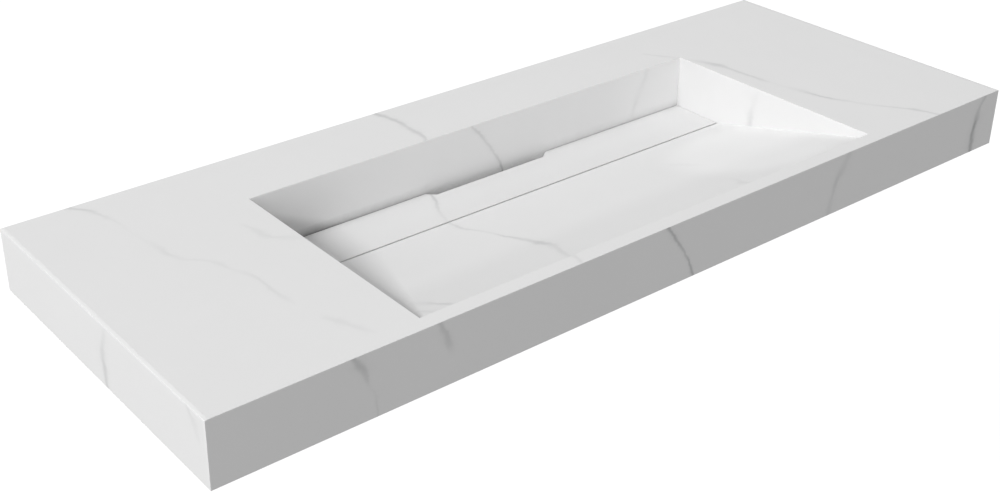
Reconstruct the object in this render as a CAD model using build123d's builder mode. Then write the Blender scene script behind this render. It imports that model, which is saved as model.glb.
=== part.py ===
from build123d import *
import math
import os

# Wall-hung washbasin of veined slab: mitred deck and aprons, a bowl that falls to the back as one ramp,
# a loose drain cover over a gutter, and a grid waste under it. The origin is the centre of the face that
# lies on the wall. +X is to the right seen from the front, +Y goes into the wall, +Z is up. Millimetres.

# Slab shell
basin_length = 1200.0
basin_depth = 450.0
apron_height = 78.0
sheet = 12.0
arris = 1.0
cut_edge_ease = 0.6
mitre_angle = 45.0

# Bowl
opening_length = 697.0
front_rim = 19.5
back_deck = 106.5
opening_ease = 0.8
bowl_depth = 72.5
ramp_lip = 6.0
end_wall_skirt = 10.0

# Drain cover, its gaps and its lifting notch
cover_width = 75.5
cover_front_gap = 2.5
cover_back_gap = 1.0
cover_end_gap = 0.6
cover_ease = 0.8
notch_mouth = 200.0
notch_floor = 176.0
notch_depth = 10.0
notch_corner = 1.0

# Gutter and what the cover lies on
ramp_overhang = 12.0
cover_headroom = 13.5
gutter_fall = 6.0
gutter_floor_sheet = 12.0
ledge_width = 14.0
cover_block_length = 30.0
cover_block_width = 16.0
cover_block_height = 10.0
cover_block_gap = 35.0
pad_length = 10.0
pad_width = 8.0
pad_thickness = 1.5

# Grid waste
waste_hole_radius = 23.0
waste_recess_radius = 33.0
waste_flat_margin = 6.0
grid_radius = 31.5
grid_plate = 3.0
grid_dish = 1.0
grid_dish_radius = 20.5
grid_slot_count = 6
grid_slot_length = 10.5
grid_slot_width = 4.0
grid_slot_inner_radius = 8.5
upper_seal_thickness = 1.5
seal_clearance = 0.5
lower_seal_thickness = 2.5
waste_flange_radius = 30.0
waste_flange = 3.0
cup_depth = 14.0
cup_taper = 6.0
tail_radius = 20.95
tail_wall = 3.45
tail_length = 38.0
collar_sides = 8
collar_wall = 3.5
bridge_boss_radius = 5.5
bridge_arm_width = 3.0
bridge_arms = 3
bridge_depth = 9.0
screw_radius = 3.0
screw_clearance = 0.05
screw_head_radius = 6.0
screw_head_angle = 90.0
screw_slot_width = 1.2
screw_slot_depth = 1.2
screw_end_gap = 1.0

# Wall rail and fixings
rail_thickness = 18.0
rail_height = 56.0
inner_fixing_spacing = 280.0
fixing_rib_gap = 16.25
bolt_bore_radius = 5.25
bush_wall = 2.75
bush_clearance = 0.1
bush_flange_radius = 12.0
bush_flange = 2.5
plate_length = 64.0
plate_height = 44.0
plate_thickness = 3.0
plate_corner = 5.0

# Stiffening strips and glue blocks
rib_height = 40.0
ramp_rib_height = 26.0
corner_block_leg = 30.0
corner_block_height = 50.0

# Places worked out from the sizes
half_length = basin_length / 2
half_opening = opening_length / 2
deck_top = apron_height / 2
deck_under = deck_top - sheet
apron_foot = -apron_height / 2
front_y = -basin_depth
apron_inner_y = front_y + sheet
bowl_front_y = front_y + front_rim
bowl_back_y = -back_deck
opening_depth = bowl_back_y - bowl_front_y
end_wall_outer = half_opening + sheet
end_apron_inner = half_length - sheet

cover_top = deck_top - bowl_depth
cover_under = cover_top - sheet
cover_back_y = bowl_back_y - cover_back_gap
cover_front_y = cover_back_y - cover_width
half_cover = half_opening - cover_end_gap

ramp_end_y = cover_front_y - cover_front_gap
ramp_slope = (bowl_depth - ramp_lip) / (ramp_end_y - bowl_front_y)
ramp_upright = sheet / math.cos(math.atan(ramp_slope))

gutter_front_y = ramp_end_y - ramp_overhang
gutter_width = bowl_back_y - gutter_front_y
gutter_mid_y = (bowl_back_y + gutter_front_y) / 2
rest_top = cover_under - pad_thickness
gutter_end_level = cover_under - cover_headroom
gutter_mid_level = gutter_end_level - gutter_fall
gutter_foot = gutter_mid_level - gutter_floor_sheet
cover_block_x = notch_mouth / 2 + cover_block_gap + cover_block_length / 2

grid_top = gutter_mid_level
waste_recess_depth = grid_plate + upper_seal_thickness
body_top = gutter_foot - lower_seal_thickness
bridge_top = body_top
cup_radius = waste_hole_radius
tail_top = body_top - cup_depth - cup_taper
tail_foot = tail_top - tail_length
screw_length = grid_top - grid_dish - bridge_top + bridge_depth - screw_end_gap

rail_front_y = -sheet - rail_thickness
plate_front_y = rail_front_y - plate_thickness
bush_radius = bolt_bore_radius + bush_wall
bush_hole_radius = bush_radius + bush_clearance
deck_rib_x = (end_apron_inner + end_wall_outer) / 2
inner_fixing_x = inner_fixing_spacing / 2
outer_fixing_x = deck_rib_x - sheet / 2 - fixing_rib_gap - plate_length / 2
rear_rib_x = (inner_fixing_x + outer_fixing_x) / 2
ramp_rib_x = opening_length / 4
fixing_places = [(x, 0) for x in (-outer_fixing_x, -inner_fixing_x, inner_fixing_x, outer_fixing_x)]


def ramp_top(y):
    """Height of the ramp's upper side at the place y."""
    return deck_top - ramp_lip - (y - bowl_front_y) * ramp_slope


def ramp_under(y):
    """Height of the ramp's underside at the place y."""
    return ramp_top(y) - ramp_upright


def block(low, high):
    """Adds a square-edged block between two opposite corners to the piece being built."""
    with Locations(((low[0] + high[0]) / 2, (low[1] + high[1]) / 2, (low[2] + high[2]) / 2)):
        Box(high[0] - low[0], high[1] - low[1], high[2] - low[2])


def side_profile(points, low_x, high_x):
    """Adds a profile drawn in the YZ plane, run from one X to another, to the piece being built."""
    with BuildSketch(Plane.YZ.offset(low_x)) as outline:
        with BuildLine():
            Polyline(*points, close=True)
        make_face()
    extrude(outline.sketch, amount=high_x - low_x)


def mitred_sheet(face, width, height):
    """Adds a sheet with its outer side on the plane and its edges cut back at the mitre angle."""
    with BuildSketch(face) as outline:
        Rectangle(width, height)
    extrude(outline.sketch, amount=-sheet, taper=mitre_angle)


# Outer form of the bonded shell, with its arrises rounded after the mitres are glued
with BuildPart() as eased_form:
    block((-half_length, front_y, apron_foot), (half_length, 0, deck_top))
    upright_arrises = eased_form.edges().filter_by(Axis.Z).group_by(Axis.Y)[0]
    top_arrises = eased_form.edges().group_by(Axis.Z)[-1].sort_by(Axis.Y)[:-1]
    fillet(upright_arrises + top_arrises, radius=arris)
    foot_edges = eased_form.edges().group_by(Axis.Z)[0].sort_by(Axis.Y)[:-1]
    chamfer(foot_edges, length=cut_edge_ease)


def mitred_apron(face, run):
    """An apron with its outer side on a plane whose origin is at the middle of the apron's foot."""
    with BuildPart() as apron:
        mitred_sheet(face, run, 2 * apron_height)
        split(bisect_by=Plane.XY.offset(apron_foot), keep=Keep.TOP)
        add(eased_form.part, mode=Mode.INTERSECT)
    return apron


# Deck with the bowl opening
with BuildPart() as deck_panel:
    deck_face = Plane(origin=(0, front_y / 2, deck_top))
    mitred_sheet(deck_face, basin_length, basin_depth)
    with BuildSketch(Plane.XY.offset(deck_top)):
        with Locations((0, (bowl_front_y + bowl_back_y) / 2)):
            Rectangle(opening_length, opening_depth)
    extrude(amount=-sheet, mode=Mode.SUBTRACT)
    opening_edges = (
        deck_panel.edges()
        .filter_by_position(Axis.X, -half_opening, half_opening)
        .filter_by_position(Axis.Y, bowl_front_y, bowl_back_y)
        .group_by(Axis.Z)[-1]
    )
    fillet(opening_edges, radius=opening_ease)
    add(eased_form.part, mode=Mode.INTERSECT)
deck_panel.part.label = "deck_panel"

# Aprons on the four sides
front_apron = mitred_apron(
    Plane(origin=(0, front_y, apron_foot), x_dir=(1, 0, 0), z_dir=(0, -1, 0)), basin_length
)
front_apron.part.label = "front_apron"

left_apron = mitred_apron(
    Plane(origin=(-half_length, front_y / 2, apron_foot), x_dir=(0, -1, 0), z_dir=(-1, 0, 0)), basin_depth
)
left_apron.part.label = "left_apron"

right_apron = mitred_apron(
    Plane(origin=(half_length, front_y / 2, apron_foot), x_dir=(0, 1, 0), z_dir=(1, 0, 0)), basin_depth
)
right_apron.part.label = "right_apron"

drilled_wall_side = mitred_apron(
    Plane(origin=(0, 0, apron_foot), x_dir=(-1, 0, 0), z_dir=(0, 1, 0)), basin_length
)
with BuildPart() as rear_apron:
    add(drilled_wall_side.part)
    with BuildSketch(Plane.XZ):
        with Locations(*fixing_places):
            Circle(bush_hole_radius)
    extrude(amount=sheet, mode=Mode.SUBTRACT)
rear_apron.part.label = "rear_apron"

# Upright walls of the bowl, flush with the opening and carried on down round the gutter
with BuildPart() as basin_back_wall:
    block((-end_wall_outer, bowl_back_y, gutter_foot), (end_wall_outer, bowl_back_y + sheet, deck_under))
basin_back_wall.part.label = "basin_back_wall"

gutter_outer_y = gutter_front_y - sheet
end_wall_points = [
    (apron_inner_y, deck_under),
    (bowl_back_y, deck_under),
    (bowl_back_y, gutter_foot),
    (gutter_outer_y, gutter_foot),
    (gutter_outer_y, ramp_under(gutter_outer_y) - end_wall_skirt),
    (apron_inner_y, ramp_under(apron_inner_y) - end_wall_skirt),
]
with BuildPart() as basin_left_wall:
    side_profile(end_wall_points, -end_wall_outer, -half_opening)
basin_left_wall.part.label = "basin_left_wall"

with BuildPart() as basin_right_wall:
    side_profile(end_wall_points, half_opening, end_wall_outer)
basin_right_wall.part.label = "basin_right_wall"

# Ramp, rebated under the front rim and ending as a drip edge over the gutter
ramp_points = [
    (bowl_front_y, ramp_top(bowl_front_y)),
    (ramp_end_y, cover_top),
    (ramp_end_y, ramp_under(ramp_end_y)),
    (apron_inner_y, ramp_under(apron_inner_y)),
    (apron_inner_y, deck_under),
    (bowl_front_y, deck_under),
]
with BuildPart() as basin_ramp:
    side_profile(ramp_points, -half_opening, half_opening)
    ramp_end_edge = basin_ramp.edges().filter_by(Axis.X).sort_by_distance((0, ramp_end_y, cover_top))[0]
    fillet(ramp_end_edge, radius=cover_ease)
basin_ramp.part.label = "basin_ramp"

# Gutter: a front wall bevelled to the ramp, and a floor that falls from both ends to the waste
gutter_wall_points = [
    (gutter_outer_y, ramp_under(gutter_outer_y)),
    (gutter_front_y, ramp_under(gutter_front_y)),
    (gutter_front_y, gutter_foot),
    (gutter_outer_y, gutter_foot),
]
with BuildPart() as trough_front_wall:
    side_profile(gutter_wall_points, -half_opening, half_opening)
trough_front_wall.part.label = "trough_front_wall"

waste_flat = waste_recess_radius + waste_flat_margin
with BuildPart() as trough_floor:
    with BuildSketch(Plane.XZ.offset(-bowl_back_y)):
        with BuildLine():
            Polyline(
                (0, gutter_foot),
                (half_opening, gutter_foot),
                (half_opening, gutter_end_level),
                (half_opening - ledge_width, gutter_end_level),
                (waste_flat, gutter_mid_level),
                (0, gutter_mid_level),
                close=True,
            )
        make_face()
    extrude(amount=gutter_width)
    mirror(about=Plane.YZ)
    with Locations((0, gutter_mid_y, gutter_mid_level)):
        CounterBoreHole(waste_hole_radius, waste_recess_radius, waste_recess_depth)
trough_floor.part.label = "trough_floor"

# Ledges and blocks that carry the drain cover, and the pads on them
with BuildPart() as left_cover_ledge:
    block((-half_opening, ramp_end_y, gutter_end_level), (ledge_width - half_opening, bowl_back_y, rest_top))
left_cover_ledge.part.label = "left_cover_ledge"

with BuildPart() as right_cover_ledge:
    block((half_opening - ledge_width, ramp_end_y, gutter_end_level), (half_opening, bowl_back_y, rest_top))
right_cover_ledge.part.label = "right_cover_ledge"

cover_block_y = bowl_back_y - cover_block_width / 2
with BuildPart() as cover_blocks:
    with Locations(*[(side * cover_block_x, cover_block_y, rest_top) for side in (-1, 1)]):
        Box(
            cover_block_length,
            cover_block_width,
            cover_block_height,
            align=(Align.CENTER, Align.CENTER, Align.MAX),
        )
cover_blocks.part.label = "cover_blocks"

ledge_pad_x = half_opening - ledge_width / 2
ledge_pad_y = cover_front_y + cover_block_width / 2
pad_places = [(side * ledge_pad_x, y) for side in (-1, 1) for y in (ledge_pad_y, cover_block_y)]
pad_places += [(side * cover_block_x, cover_block_y) for side in (-1, 1)]
with BuildPart() as rest_pads:
    with BuildSketch(Plane.XY.offset(rest_top)):
        with Locations(*pad_places):
            Rectangle(pad_width, pad_length)
    extrude(amount=pad_thickness)
rest_pads.part.label = "rest_pads"

# Loose drain cover with a bevel-ended notch in its back edge to lift it by
with BuildPart() as drain_cover:
    with BuildSketch(Plane.XY.offset(cover_under)):
        with BuildLine():
            Polyline(
                (-half_cover, cover_front_y),
                (half_cover, cover_front_y),
                (half_cover, cover_back_y),
                (notch_mouth / 2, cover_back_y),
                (notch_floor / 2, cover_back_y - notch_depth),
                (-notch_floor / 2, cover_back_y - notch_depth),
                (-notch_mouth / 2, cover_back_y),
                (-half_cover, cover_back_y),
                close=True,
            )
        make_face()
    extrude(amount=sheet)
    notch_edges = drain_cover.edges().filter_by(Axis.Z).filter_by_position(
        Axis.X, -notch_mouth / 2, notch_mouth / 2
    )
    fillet(notch_edges, radius=notch_corner)
    fillet(drain_cover.edges().group_by(Axis.Z)[-1], radius=cover_ease)
drain_cover.part.label = "drain_cover"

# Grid waste, turned about an upright axis through the middle of the gutter
waste_axis = Axis((0, gutter_mid_y, 0), (0, 0, 1))
waste_section = Plane(origin=(0, gutter_mid_y, 0), x_dir=(1, 0, 0), z_dir=(0, -1, 0))


def turned(points):
    """Adds a profile of (radius, height) points, turned about the waste's axis, to the piece."""
    with BuildSketch(waste_section) as outline:
        with BuildLine():
            Polyline(*points, close=True)
        make_face()
    revolve(outline.sketch, axis=waste_axis)


dish_top = grid_top - grid_dish
grid_under = grid_top - grid_plate
with BuildPart() as waste_grid:
    with BuildSketch(Plane(origin=(0, gutter_mid_y, grid_under))):
        Circle(grid_radius)
    extrude(amount=grid_plate)
    with BuildSketch(Plane(origin=(0, gutter_mid_y, grid_top))):
        Circle(grid_dish_radius)
    extrude(amount=-grid_dish, mode=Mode.SUBTRACT)
    with BuildSketch(Plane(origin=(0, gutter_mid_y, dish_top))):
        with PolarLocations(grid_slot_inner_radius + grid_slot_length / 2, grid_slot_count):
            SlotOverall(grid_slot_length, grid_slot_width)
    extrude(amount=-grid_plate, mode=Mode.SUBTRACT)
    with Locations((0, gutter_mid_y, dish_top)):
        CounterSinkHole(
            screw_radius + screw_clearance,
            screw_head_radius + screw_clearance,
            counter_sink_angle=screw_head_angle,
        )
waste_grid.part.label = "waste_grid"

with BuildPart() as waste_screw:
    turned(
        [
            (0, dish_top),
            (screw_head_radius, dish_top),
            (screw_radius, dish_top - screw_head_radius + screw_radius),
            (screw_radius, dish_top - screw_length),
            (0, dish_top - screw_length),
        ]
    )
    with Locations((0, gutter_mid_y, dish_top)):
        Box(
            2 * screw_head_radius,
            screw_slot_width,
            screw_slot_depth,
            align=(Align.CENTER, Align.CENTER, Align.MAX),
            mode=Mode.SUBTRACT,
        )
waste_screw.part.label = "waste_screw"

with BuildPart() as waste_upper_seal:
    with BuildSketch(Plane(origin=(0, gutter_mid_y, grid_under - upper_seal_thickness))):
        Circle(grid_radius - seal_clearance)
        Circle(waste_hole_radius + seal_clearance, mode=Mode.SUBTRACT)
    extrude(amount=upper_seal_thickness)
waste_upper_seal.part.label = "waste_upper_seal"

with BuildPart() as waste_lower_seal:
    with BuildSketch(Plane(origin=(0, gutter_mid_y, body_top))):
        Circle(waste_flange_radius - seal_clearance)
        Circle(cup_radius + seal_clearance, mode=Mode.SUBTRACT)
    extrude(amount=lower_seal_thickness)
waste_lower_seal.part.label = "waste_lower_seal"

cup_foot = body_top - cup_depth
collar_apothem = cup_radius + collar_wall
tail_bore_radius = tail_radius - tail_wall
with BuildPart() as waste_body:
    with BuildSketch(Plane(origin=(0, gutter_mid_y, body_top))):
        Circle(waste_flange_radius)
        Circle(cup_radius, mode=Mode.SUBTRACT)
    extrude(amount=-waste_flange)
    with BuildSketch(Plane(origin=(0, gutter_mid_y, body_top - waste_flange))):
        RegularPolygon(collar_apothem, collar_sides, major_radius=False)
        Circle(cup_radius, mode=Mode.SUBTRACT)
    extrude(amount=waste_flange - cup_depth)
    turned(
        [
            (cup_radius, cup_foot),
            (collar_apothem, cup_foot),
            (tail_radius, tail_top),
            (tail_radius, tail_foot),
            (tail_bore_radius, tail_foot),
            (tail_bore_radius, tail_top),
        ]
    )
    with BuildSketch(Plane(origin=(0, gutter_mid_y, bridge_top))):
        Circle(bridge_boss_radius)
        with PolarLocations(collar_apothem / 2, bridge_arms):
            Rectangle(collar_apothem, bridge_arm_width)
    extrude(amount=-bridge_depth)
    with BuildSketch(Plane(origin=(0, gutter_mid_y, bridge_top))):
        Circle(screw_radius + screw_clearance)
    extrude(amount=-bridge_depth, mode=Mode.SUBTRACT)
waste_body.part.label = "waste_body"

# Plywood rail bonded behind the rear apron, drilled for the bushes
with BuildPart() as rear_rail:
    block((-end_apron_inner, rail_front_y, deck_under - rail_height), (end_apron_inner, -sheet, deck_under))
    with BuildSketch(Plane.XZ.offset(sheet)):
        with Locations(*fixing_places):
            Circle(bush_hole_radius)
    extrude(amount=rail_thickness, mode=Mode.SUBTRACT)
rear_rail.part.label = "rear_rail"

# Steel plates that spread each bolt's load over the rail
with BuildPart() as fixing_plates:
    with Locations(*[(x, rail_front_y, z) for x, z in fixing_places]):
        Box(plate_length, plate_thickness, plate_height, align=(Align.CENTER, Align.MAX, Align.CENTER))
    chamfer(fixing_plates.edges().filter_by(Axis.Y), length=plate_corner)
    with BuildSketch(Plane.XZ.offset(-rail_front_y)):
        with Locations(*fixing_places):
            Circle(bush_hole_radius)
    extrude(amount=plate_thickness, mode=Mode.SUBTRACT)
fixing_plates.part.label = "fixing_plates"

# Flanged bushes that line the four bolt holes
with BuildPart() as fixing_bushes:
    with BuildSketch(Plane.XZ):
        with Locations(*fixing_places):
            Circle(bush_radius)
    extrude(amount=-plate_front_y)
    with BuildSketch(Plane.XZ.offset(-plate_front_y)):
        with Locations(*fixing_places):
            Circle(bush_flange_radius)
    extrude(amount=bush_flange)
    with BuildSketch(Plane.XZ):
        with Locations(*fixing_places):
            Circle(bolt_bore_radius)
    extrude(amount=bush_flange - plate_front_y, mode=Mode.SUBTRACT)
fixing_bushes.part.label = "fixing_bushes"


def strip(middle_x, low_y, high_y):
    """A slab strip bonded on edge under the deck, running from front to back."""
    with BuildPart() as rib:
        block(
            (middle_x - sheet / 2, low_y, deck_under - rib_height),
            (middle_x + sheet / 2, high_y, deck_under),
        )
    return rib


# Strips that stiffen the deck at both ends and behind the bowl
left_deck_rib = strip(-deck_rib_x, apron_inner_y, rail_front_y)
left_deck_rib.part.label = "left_deck_rib"
right_deck_rib = strip(deck_rib_x, apron_inner_y, rail_front_y)
right_deck_rib.part.label = "right_deck_rib"
left_rear_rib = strip(-rear_rib_x, bowl_back_y + sheet, rail_front_y)
left_rear_rib.part.label = "left_rear_rib"
right_rear_rib = strip(rear_rib_x, bowl_back_y + sheet, rail_front_y)
right_rear_rib.part.label = "right_rear_rib"

# Strips under the ramp, cut to its slope
ramp_rib_points = [
    (apron_inner_y, ramp_under(apron_inner_y)),
    (gutter_outer_y, ramp_under(gutter_outer_y)),
    (gutter_outer_y, ramp_under(gutter_outer_y) - ramp_rib_height),
    (apron_inner_y, ramp_under(apron_inner_y) - ramp_rib_height),
]
with BuildPart() as left_ramp_rib:
    side_profile(ramp_rib_points, -ramp_rib_x - sheet / 2, sheet / 2 - ramp_rib_x)
left_ramp_rib.part.label = "left_ramp_rib"

with BuildPart() as right_ramp_rib:
    side_profile(ramp_rib_points, ramp_rib_x - sheet / 2, ramp_rib_x + sheet / 2)
right_ramp_rib.part.label = "right_ramp_rib"


def corner_block(side):
    """A three-cornered glue block in a front corner, side -1 for the left and 1 for the right."""
    corner_x = side * end_apron_inner
    with BuildPart() as glue_block:
        with BuildSketch(Plane.XY.offset(deck_under)):
            with BuildLine():
                Polyline(
                    (corner_x, apron_inner_y),
                    (corner_x, apron_inner_y + corner_block_leg),
                    (corner_x - side * corner_block_leg, apron_inner_y),
                    close=True,
                )
            make_face()
        extrude(amount=-corner_block_height)
    return glue_block


# Glue blocks behind the front mitres
left_corner_block = corner_block(-1)
left_corner_block.part.label = "left_corner_block"
right_corner_block = corner_block(1)
right_corner_block.part.label = "right_corner_block"

pieces = [
    deck_panel, front_apron, left_apron, right_apron, rear_apron,
    basin_back_wall, basin_left_wall, basin_right_wall, basin_ramp,
    trough_front_wall, trough_floor, left_cover_ledge, right_cover_ledge, cover_blocks, rest_pads,
    drain_cover, waste_grid, waste_screw, waste_upper_seal, waste_lower_seal, waste_body,
    rear_rail, fixing_plates, fixing_bushes,
    left_deck_rib, right_deck_rib, left_rear_rib, right_rear_rib, left_ramp_rib, right_ramp_rib,
    left_corner_block, right_corner_block,
]
os.makedirs("parts", exist_ok=True)
for piece in pieces:
    export_step(piece.part, f"parts/{piece.part.label}.step")
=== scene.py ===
import math
import random
import bmesh
import bpy
from mathutils import Matrix, Vector


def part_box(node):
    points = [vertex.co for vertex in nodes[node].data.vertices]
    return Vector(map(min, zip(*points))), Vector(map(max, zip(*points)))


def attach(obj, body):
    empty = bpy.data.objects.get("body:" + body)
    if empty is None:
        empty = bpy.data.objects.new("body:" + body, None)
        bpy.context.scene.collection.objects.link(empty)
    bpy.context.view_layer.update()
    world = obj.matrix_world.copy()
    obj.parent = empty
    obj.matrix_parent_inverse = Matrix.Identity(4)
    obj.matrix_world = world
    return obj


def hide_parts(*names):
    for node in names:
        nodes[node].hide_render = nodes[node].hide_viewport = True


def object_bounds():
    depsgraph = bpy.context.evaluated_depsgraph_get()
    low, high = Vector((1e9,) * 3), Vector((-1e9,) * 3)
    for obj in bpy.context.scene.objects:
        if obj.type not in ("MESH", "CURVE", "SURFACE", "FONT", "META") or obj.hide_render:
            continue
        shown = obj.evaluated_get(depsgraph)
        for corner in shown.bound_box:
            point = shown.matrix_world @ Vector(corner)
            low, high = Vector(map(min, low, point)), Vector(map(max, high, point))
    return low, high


# Wall-hung slab washbasin: its slabs with their veins, its small fixings, studio light and camera.
# Lengths are in metres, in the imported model's frame, unless a name or comment says millimetres.

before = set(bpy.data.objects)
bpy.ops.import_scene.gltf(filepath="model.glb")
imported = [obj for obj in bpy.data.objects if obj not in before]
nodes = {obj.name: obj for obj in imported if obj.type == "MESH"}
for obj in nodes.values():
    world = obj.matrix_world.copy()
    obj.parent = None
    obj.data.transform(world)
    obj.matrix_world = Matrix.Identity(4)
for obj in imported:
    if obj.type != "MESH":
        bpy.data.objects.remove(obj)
cad_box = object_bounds()
MM = 0.001

# Camera, as the straight edges of the basin place it
IMAGE_WIDTH = 1000
CAMERA_PLACE = (-1.0770, -1.4210, 0.8070)
CAMERA_HEADING = 38.425
CAMERA_DIP = 27.344
CAMERA_ROLL = 0.136
FOCAL_PIXELS = 1467.1
SENSOR_WIDTH = 36.0
SHIFT_X = 0.0345
SHIFT_Y = -0.0478

# Studio
FLOOR_HEIGHT = -0.811
FLOOR_SIZE = 14.0
FLOOR_GREY = (0.2, 0.2, 0.2, 1.0)
FLOOR_LIFT = 0.92
SKY_LEVEL = 0.465
WHITE = (1.0, 1.0, 1.0, 1.0)
LAMP_AIM = (0.0, -0.2, 0.0)
KEY_PLACE = (-15.97, -0.62, 12.04)
KEY_SIZE = 4.7
KEY_POWER = 2380
FILL_PLACE = (-12.57, -15.19, 4.16)
FILL_SIZE = 10.0
FILL_POWER = 592

# Finishes
STONE = (0.849, 0.849, 0.849, 1.0)
# Painted light on the ramp: its tone a little paler than the deck's, and a soft paler patch before its
# right end: its middle, its reach and how much paler it is
RAMP_TONE = 1.016
PATCH_PLACE = (0.27, -0.322)
PATCH_REACH = (0.115, 0.100)
PATCH_PALER = 0.085
# Drifts in tone, which are painted light and shade: direction, where each begins and ends along it, and
# the change at either end.
# Ramp: painted light, paler from its left end to its middle, and painted shade at its right end and
# along its front edge
RAMP_DRIFTS = [
    ((1.0, 0.0, 0.0), -0.3485, 0.0, 0.0, 0.04),
    ((1.0, 0.0, 0.0), 0.270, 0.3485, 0.0, -0.06),
    ((0.0, 1.0, 0.0), -0.375, -0.315, -0.05, 0.0),
]
# Cover: painted shade at its right end and towards its back edge
COVER_DRIFTS = [
    ((1.0, 0.0, 0.0), 0.290, 0.3485, 0.0, -0.06),
    ((0.0, 1.0, 0.0), -0.152, -0.118, 0.0, -0.022),
]
# Back wall: painted shade a little darker over its right half, painted light at its right end and below
# the cover's top in the notch's well, and a painted shadow of the left wall in a slanting band at its
# left end
BACK_WALL_DRIFTS = [
    ((1.0, 0.0, 0.0), -0.200, -0.050, 0.0, -0.02),
    ((1.0, 0.0, 0.0), 0.190, 0.270, 0.0, 0.045),
    ((0.0, 0.0, 1.0), -0.0375, -0.0325, 0.13, 0.0),
    ((0.46, 0.0, 1.0), -0.151, -0.132, -0.28, 0.0),
]
# Right wall: painted light at its front and painted shade towards its back
RIGHT_WALL_DRIFTS = [
    ((0.0, 1.0, 0.0), -0.420, -0.330, 0.06, 0.0),
    ((0.0, 1.0, 0.0), -0.200, -0.1065, 0.0, -0.05),
]
# Painted shade and light in the panels' tones: the cover a little darker, the back wall paler and the
# right wall darker than the deck's stone
COVER_TONE = 0.990
BACK_WALL_TONE = 1.043
RIGHT_WALL_TONE = 0.894
VEIN_GREY = (0.40, 0.405, 0.41, 1.0)
SAWN_STONE = (0.70, 0.69, 0.67, 1.0)
STEEL = (0.60, 0.60, 0.59, 1.0)
ZINC = (0.68, 0.68, 0.66, 1.0)
CHROME = (0.78, 0.78, 0.79, 1.0)
RUBBER = (0.028, 0.028, 0.029, 1.0)
RUBBER_PALE = (0.045, 0.045, 0.046, 1.0)
NYLON = (0.78, 0.77, 0.73, 1.0)
NYLON_SHADE = (0.70, 0.69, 0.65, 1.0)
SILICONE = (0.70, 0.70, 0.68, 1.0)
SILICONE_SHADE = (0.62, 0.62, 0.60, 1.0)
ADHESIVE = (0.66, 0.65, 0.62, 1.0)
ADHESIVE_SHADE = (0.56, 0.55, 0.52, 1.0)
BIRCH = (0.66, 0.50, 0.32, 1.0)
BIRCH_DARK = (0.50, 0.35, 0.20, 1.0)
BIRCH_END = (0.42, 0.28, 0.16, 1.0)
BIRCH_END_DARK = (0.30, 0.19, 0.10, 1.0)
SEED = 12
WIDEST_VEIN = 16.0

# Veins of each panel, on its own two axes: each point gives both places, the width and the
# strength, with lengths in millimetres
DECK_VEINS = [
    [(-530, 12, 5.5, 0.28), (-518, -5, 5.5, 0.28), (-508, -17, 5.0, 0.26), (-500, -32, 6.0, 0.17),
     (-497, -44, 5.5, 0.13), (-494, -57, 3.5, 0.08), (-490, -100, 3.5, 0.02), (-487, -128, 5.0, 0.04),
     (-484, -146, 7.5, 0.09), (-483, -162, 5.0, 0.13), (-478, -179, 7.0, 0.07), (-466, -192, 4.0, 0.08),
     (-453, -207, 5.0, 0.08), (-449, -219, 6.5, 0.10), (-443, -238, 5.0, 0.05), (-437, -253, 5.5, 0.10),
     (-434, -279, 4.5, 0.14), (-434, -305, 4.5, 0.12), (-432, -325, 6.0, 0.05), (-431, -338, 6.0, 0.0)],
    [(-386, -148, 5.0, 0.0), (-385, -160, 4.5, 0.07), (-382, -176, 6.5, 0.11), (-380, -192, 9.0, 0.12),
     (-372, -203, 5.0, 0.10), (-362, -212, 9.0, 0.08), (-345, -231, 6.0, 0.05)],
    [(-423, -364, 6.0, 0.0), (-417, -382, 6.0, 0.11), (-411, -394, 6.0, 0.11), (-403, -417, 6.0, 0.07),
     (-397, -430, 6.0, 0.0)],
    [(-102, 12, 5.5, 0.42), (-99, -1, 5.5, 0.42), (-94, -21, 6.0, 0.37), (-91, -42, 5.2, 0.38),
     (-91, -60, 6.2, 0.29), (-90, -78, 6.0, 0.36), (-92, -92, 5.2, 0.33), (-95, -106, 5.5, 0.28)],
    [(316, -62, 3.5, 0.0), (331, -87, 3.5, 0.14), (345, -107, 4.0, 0.06), (362, -141, 7.0, 0.20),
     (368, -155, 7.5, 0.33), (372, -178, 4.5, 0.26), (374, -200, 3.5, 0.28), (376, -218, 3.6, 0.26),
     (378, -235, 5.0, 0.17), (381, -252, 6.0, 0.04), (387, -280, 8.0, 0.09), (392, -302, 5.0, 0.26),
     (396, -317, 3.5, 0.40), (404, -336, 3.5, 0.26), (413, -352, 5.0, 0.12), (421, -368, 5.3, 0.09),
     (437, -390, 3.5, 0.18), (451, -411, 4.0, 0.24), (459, -424, 5.0, 0.31), (465, -437, 4.0, 0.27),
     (467, -455, 4.0, 0.25)],
    [(-145, -427, 5.0, 0.08), (-147, -435, 4.0, 0.17), (-148, -440, 3.5, 0.17), (-152, -453, 3.5, 0.10)],
]
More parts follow.
